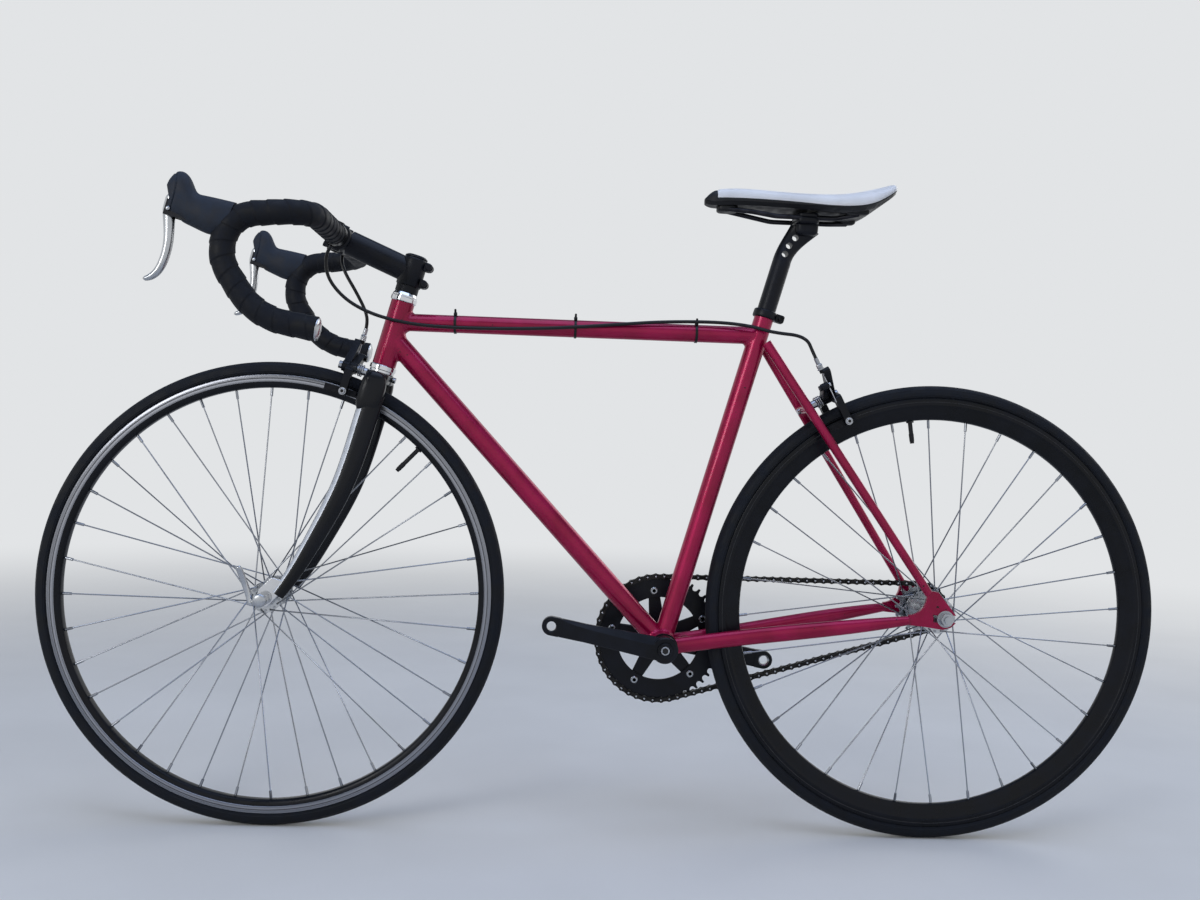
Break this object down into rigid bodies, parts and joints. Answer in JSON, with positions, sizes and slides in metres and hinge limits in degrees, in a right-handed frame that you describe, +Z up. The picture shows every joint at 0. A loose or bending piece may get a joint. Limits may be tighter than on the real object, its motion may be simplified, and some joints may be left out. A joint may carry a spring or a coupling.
{
  "type": "fixed gear bike",
  "caption": "Fixed gear road bike with drop bar, rim brakes, raked fork and a padded saddle; wheels, cranks, steering, levers and brake arms move.",
  "frame": {"origin": "on the ground, midway between the two wheels and between left and right", "axes": "+X from front to back, +Y to the rider's right, +Z up"},
  "size_m": [1.6347, 0.439, 0.9569],
  "materials": {
    "frame_paint": "metallic crimson enamel under clear coat",
    "fork_paint": "gloss black enamel",
    "steel_bright": "bright plated steel",
    "chrome": "polished chrome plate",
    "alloy_silver": "polished and clear anodised aluminium",
    "alloy_black": "black anodised aluminium",
    "rim_silver": "machined brake track on dark anodised rim",
    "rim_black": "black anodised rim",
    "chain_steel": "oiled dark steel",
    "tyre": "smooth black road tyre",
    "rubber": "black rubber",
    "tape": "black padded bar tape",
    "housing": "black cable housing",
    "plastic_black": "black moulded plastic",
    "saddle_white": "white synthetic leather",
    "shell_black": "black moulded nylon",
    "rail_dark": "dark coated steel"
  },
  "bodies": {
    "frame": {"head_tube": "frame_paint", "top_tube": "frame_paint", "down_tube": "frame_paint", "seat_tube": "frame_paint", "bottom_bracket_shell": "frame_paint", "chainstays": "frame_paint", "seatstays": "frame_paint", "dropouts": "frame_paint", "headset_cups": "chrome", "bottom_bracket_cups": "alloy_black", "seat_collar": "alloy_black", "rear_axle": "steel_bright", "rear_brake_housing": "housing", "cable_ties": "plastic_black", "chain": "chain_steel", "rear_brake_bolt": "steel_bright"},
    "seat": {"seatpost": "alloy_black", "seatpost_clamp": "alloy_black", "saddle_rails": "rail_dark", "saddle_shell": "shell_black", "saddle_cover": "saddle_white"},
    "steering": {"fork_crown": "fork_paint", "fork_blades": "fork_paint", "fork_tips": "chrome", "headset_races": "chrome", "headset_spacer": "alloy_black", "stem": "alloy_black", "stem_faceplate": "alloy_black", "stem_bolts": "steel_bright", "handlebar": "alloy_black", "bar_tape": "tape", "bar_end_plugs": "alloy_silver", "lever_hoods": "rubber", "lever_brackets": "alloy_silver", "front_brake_housing": "housing", "front_axle": "steel_bright", "front_brake_bolt": "steel_bright"},
    "front_wheel": {"front_hub": "alloy_silver", "front_spokes": "steel_bright", "front_rim": "rim_silver", "front_tyre": "tyre", "front_inner_tube": "rubber"},
    "rear_wheel": {"rear_hub": "alloy_silver", "rear_spokes": "steel_bright", "rear_rim": "rim_black", "rear_tyre": "tyre", "rear_inner_tube": "rubber", "rear_cog": "steel_bright"},
    "crank": {"crank_spindle": "steel_bright", "left_crank": "alloy_black", "right_crank": "alloy_black", "chainring": "alloy_black", "chainring_bolts": "steel_bright"},
    "left_lever": {"left_brake_lever": "alloy_silver"},
    "right_lever": {"right_brake_lever": "alloy_silver"},
    "front_left_arm": {"front_brake_left_arm": "alloy_black"},
    "front_right_arm": {"front_brake_right_arm": "alloy_black"},
    "rear_left_arm": {"rear_brake_left_arm": "alloy_black"},
    "rear_right_arm": {"rear_brake_right_arm": "alloy_black"},
    "quick_release": {"qr_lever": "alloy_silver"}
  },
  "joints": [
    {"name": "steering_turn", "type": "hinge", "parent": "frame", "child": "steering", "pos_m": [-0.3325, 0, 0.67062], "axis": [0.2588, 0, 0.9659], "range_deg": [-60, 60], "deforming": ["rear_brake_housing"]},
    {"name": "front_wheel_spin", "type": "hinge", "parent": "steering", "child": "front_wheel", "pos_m": [-0.48248, 0, 0.335], "axis": [0, 1, 0], "continuous": true},
    {"name": "rear_wheel_spin", "type": "hinge", "parent": "frame", "child": "rear_wheel", "pos_m": [0.48248, 0, 0.335], "axis": [0, 1, 0], "continuous": true, "deforming": ["chain"]},
    {"name": "crank_spin", "type": "hinge", "parent": "frame", "child": "crank", "pos_m": [0.08452, 0, 0.278], "axis": [0, 1, 0], "continuous": true, "deforming": ["chain"]},
    {"name": "seat_height", "type": "slide", "parent": "frame", "child": "seat", "axis": [0.2689, 0, 0.9632], "range_m": [-0.06, 0.05]},
    {"name": "left_lever_pull", "type": "hinge", "parent": "steering", "child": "left_lever", "pos_m": [-0.57385, -0.203, 0.84403], "axis": [0, -1, 0], "range_deg": [0, 20], "stiffness_Nm_per_rad": 1.5, "springref_deg": -11.46},
    {"name": "right_lever_pull", "type": "hinge", "parent": "steering", "child": "right_lever", "pos_m": [-0.57385, 0.203, 0.84403], "axis": [0, -1, 0], "range_deg": [0, 20], "stiffness_Nm_per_rad": 1.5, "springref_deg": -11.46},
    {"name": "front_left_arm_squeeze", "type": "hinge", "parent": "steering", "child": "front_left_arm", "pos_m": [-0.37071, 0, 0.66326], "axis": [0.9659, 0, -0.2588], "range_deg": [0, 2.6], "deforming": ["front_brake_housing"]},
    {"name": "front_right_arm_squeeze", "type": "hinge", "parent": "steering", "child": "front_right_arm", "pos_m": [-0.37071, 0, 0.66326], "axis": [-0.9659, 0, 0.2588], "range_deg": [0, 2.6], "deforming": ["front_brake_housing"]},
    {"name": "rear_right_arm_squeeze", "type": "hinge", "parent": "frame", "child": "rear_right_arm", "pos_m": [0.30888, 0, 0.64216], "axis": [-0.8862, 0, -0.4633], "range_deg": [0, 2.1], "deforming": ["rear_brake_housing"]},
    {"name": "rear_left_arm_squeeze", "type": "hinge", "parent": "frame", "child": "rear_left_arm", "pos_m": [0.30888, 0, 0.64216], "axis": [0.8862, 0, 0.4633], "range_deg": [0, 2.1], "deforming": ["rear_brake_housing"]},
    {"name": "quick_release_open", "type": "hinge", "parent": "steering", "child": "quick_release", "pos_m": [-0.48248, -0.0635, 0.335], "axis": [0.9563, 0, 0.2924], "range_deg": [0, 170]}
  ],
  "couplings": [
    {"joint": "crank_spin", "follows": "rear_wheel_spin", "ratio": 0.3913},
    {"joint": "front_left_arm_squeeze", "follows": "right_lever_pull", "ratio": 0.129},
    {"joint": "front_right_arm_squeeze", "follows": "right_lever_pull", "ratio": 0.129},
    {"joint": "rear_right_arm_squeeze", "follows": "left_lever_pull", "ratio": 0.104},
    {"joint": "rear_left_arm_squeeze", "follows": "left_lever_pull", "ratio": 0.104}
  ]
}
